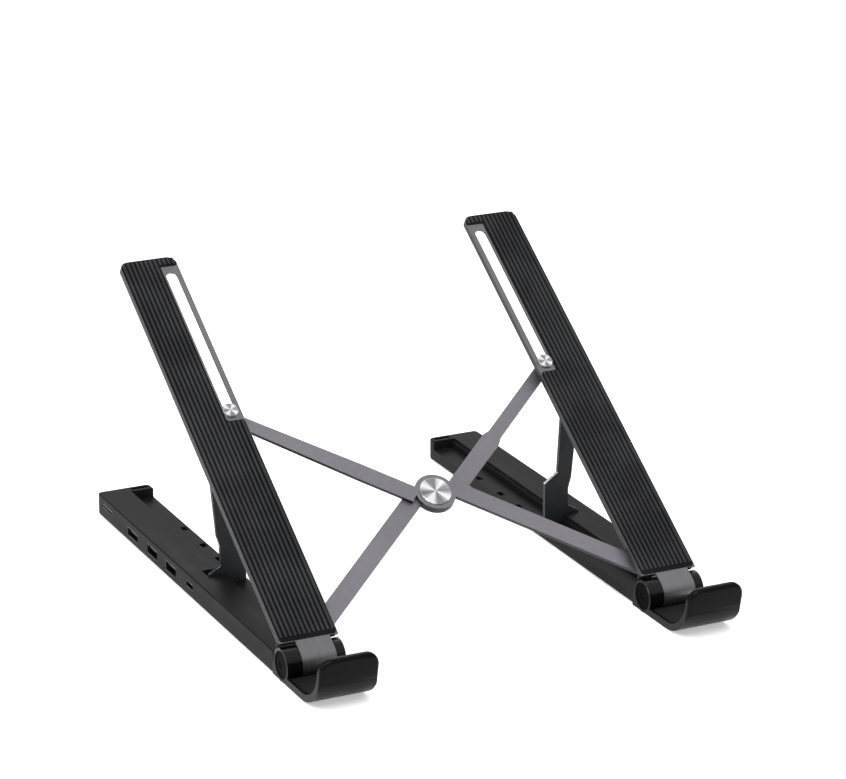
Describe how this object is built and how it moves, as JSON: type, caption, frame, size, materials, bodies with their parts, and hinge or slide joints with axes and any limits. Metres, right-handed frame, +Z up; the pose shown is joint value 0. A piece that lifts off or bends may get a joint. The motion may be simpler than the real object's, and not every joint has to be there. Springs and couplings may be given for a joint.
{
  "type": "laptop stand",
  "caption": "Folding aluminium laptop stand: two tilting padded arms on base bars joined by a scissor brace, with front hooks, prop struts and a port hub in one base bar.",
  "frame": {"origin": "centre of the underside of the opened stand, on the table surface", "axes": "+X to the user's right, +Y from the front hooks to the back ends of the base bars, +Z up"},
  "size_m": [0.2128, 0.2747, 0.1431],
  "materials": {
    "anodised_base": "satin anodised, dark charcoal",
    "anodised_arm": "satin anodised, mid grey",
    "anodised_brace": "satin anodised, grey",
    "pad_rubber": "matte, ribbed",
    "feet_rubber": "matte",
    "spun_metal": "spun radial brushing",
    "pin_steel": "turned",
    "cap_black": "gloss black",
    "strut_metal": "satin anodised, dark",
    "cover_plastic": "matte",
    "socket_metal": "plated shells",
    "board_green": "solder mask",
    "washer_nylon": "matte"
  },
  "bodies": {
    "left_base": {"left_base_housing": "anodised_base", "left_bottom_cover": "cover_plastic", "left_cover_screws": "pin_steel", "left_rubber_feet": "feet_rubber", "left_hinge_pin": "pin_steel", "left_hinge_caps": "cap_black", "left_hook_lining": "feet_rubber", "left_strut_pin": "pin_steel", "hub_circuit_board": "board_green", "card_reader_socket": "socket_metal", "hdmi_socket": "socket_metal", "usb_a_socket_back": "socket_metal", "usb_a_socket_front": "socket_metal", "usb_c_socket": "socket_metal"},
    "left_arm": {"left_arm_plate": "anodised_arm", "left_arm_pad": "pad_rubber", "left_pivot_rivet": "pin_steel", "left_pivot_spacer": "washer_nylon"},
    "left_strut": {"left_strut": "strut_metal"},
    "lower_brace": {"lower_brace_bar": "anodised_brace", "lower_slide_rivet": "spun_metal", "lower_slide_spacer": "washer_nylon"},
    "upper_brace": {"upper_brace_bar": "anodised_brace", "upper_slide_rivet": "spun_metal", "upper_slide_spacer": "washer_nylon", "hub_rivet": "pin_steel", "hub_cap": "spun_metal", "hub_washer": "washer_nylon"},
    "right_arm": {"right_arm_plate": "anodised_arm", "right_arm_pad": "pad_rubber", "right_pivot_rivet": "pin_steel", "right_pivot_spacer": "washer_nylon"},
    "right_base": {"right_base_housing": "anodised_base", "right_bottom_cover": "cover_plastic", "right_cover_screws": "pin_steel", "right_rubber_feet": "feet_rubber", "right_hinge_pin": "pin_steel", "right_hinge_caps": "cap_black", "right_hook_lining": "feet_rubber", "right_strut_pin": "pin_steel"},
    "right_strut": {"right_strut": "strut_metal"}
  },
  "joints": [
    {"name": "tilt", "type": "hinge", "parent": "left_base", "child": "left_arm", "pos_m": [-0.092, -0.09295, 0.008], "axis": [1, 0, 0], "range_deg": [-33.3, 0]},
    {"name": "left_strut_fold", "type": "hinge", "parent": "left_base", "child": "left_strut", "pos_m": [-0.092, 0.01555, 0.0076], "axis": [1, 0, 0], "range_deg": [-90, 0]},
    {"name": "fold", "type": "hinge", "parent": "left_arm", "child": "lower_brace", "pos_m": [-0.08293, -0.08117, 0.01575], "axis": [0, -0.5495, 0.8355], "range_deg": [0, 50.53]},
    {"name": "hub_turn", "type": "hinge", "parent": "lower_brace", "child": "upper_brace", "pos_m": [0, -0.02999, 0.0494], "axis": [0, -0.5495, 0.8355], "range_deg": [-101.16, 0]},
    {"name": "right_arm_turn", "type": "hinge", "parent": "upper_brace", "child": "right_arm", "pos_m": [0.08293, -0.08117, 0.01575], "axis": [0, -0.5495, 0.8355], "range_deg": [0, 50.63]},
    {"name": "right_base_tilt", "type": "hinge", "parent": "right_arm", "child": "right_base", "pos_m": [0.092, -0.09295, 0.008], "axis": [1, 0, 0], "range_deg": [0, 33.4]},
    {"name": "right_strut_fold", "type": "hinge", "parent": "right_base", "child": "right_strut", "pos_m": [0.092, 0.01555, 0.0076], "axis": [1, 0, 0], "range_deg": [-90, 0]}
  ],
  "couplings": [
    {"joint": "left_strut_fold", "follows": "tilt", "ratio": 2.7003},
    {"joint": "right_strut_fold", "follows": "tilt", "ratio": 2.7003},
    {"joint": "right_base_tilt", "follows": "tilt", "ratio": -1},
    {"joint": "hub_turn", "follows": "fold", "ratio": -2},
    {"joint": "right_arm_turn", "follows": "fold", "ratio": 1}
  ]
}
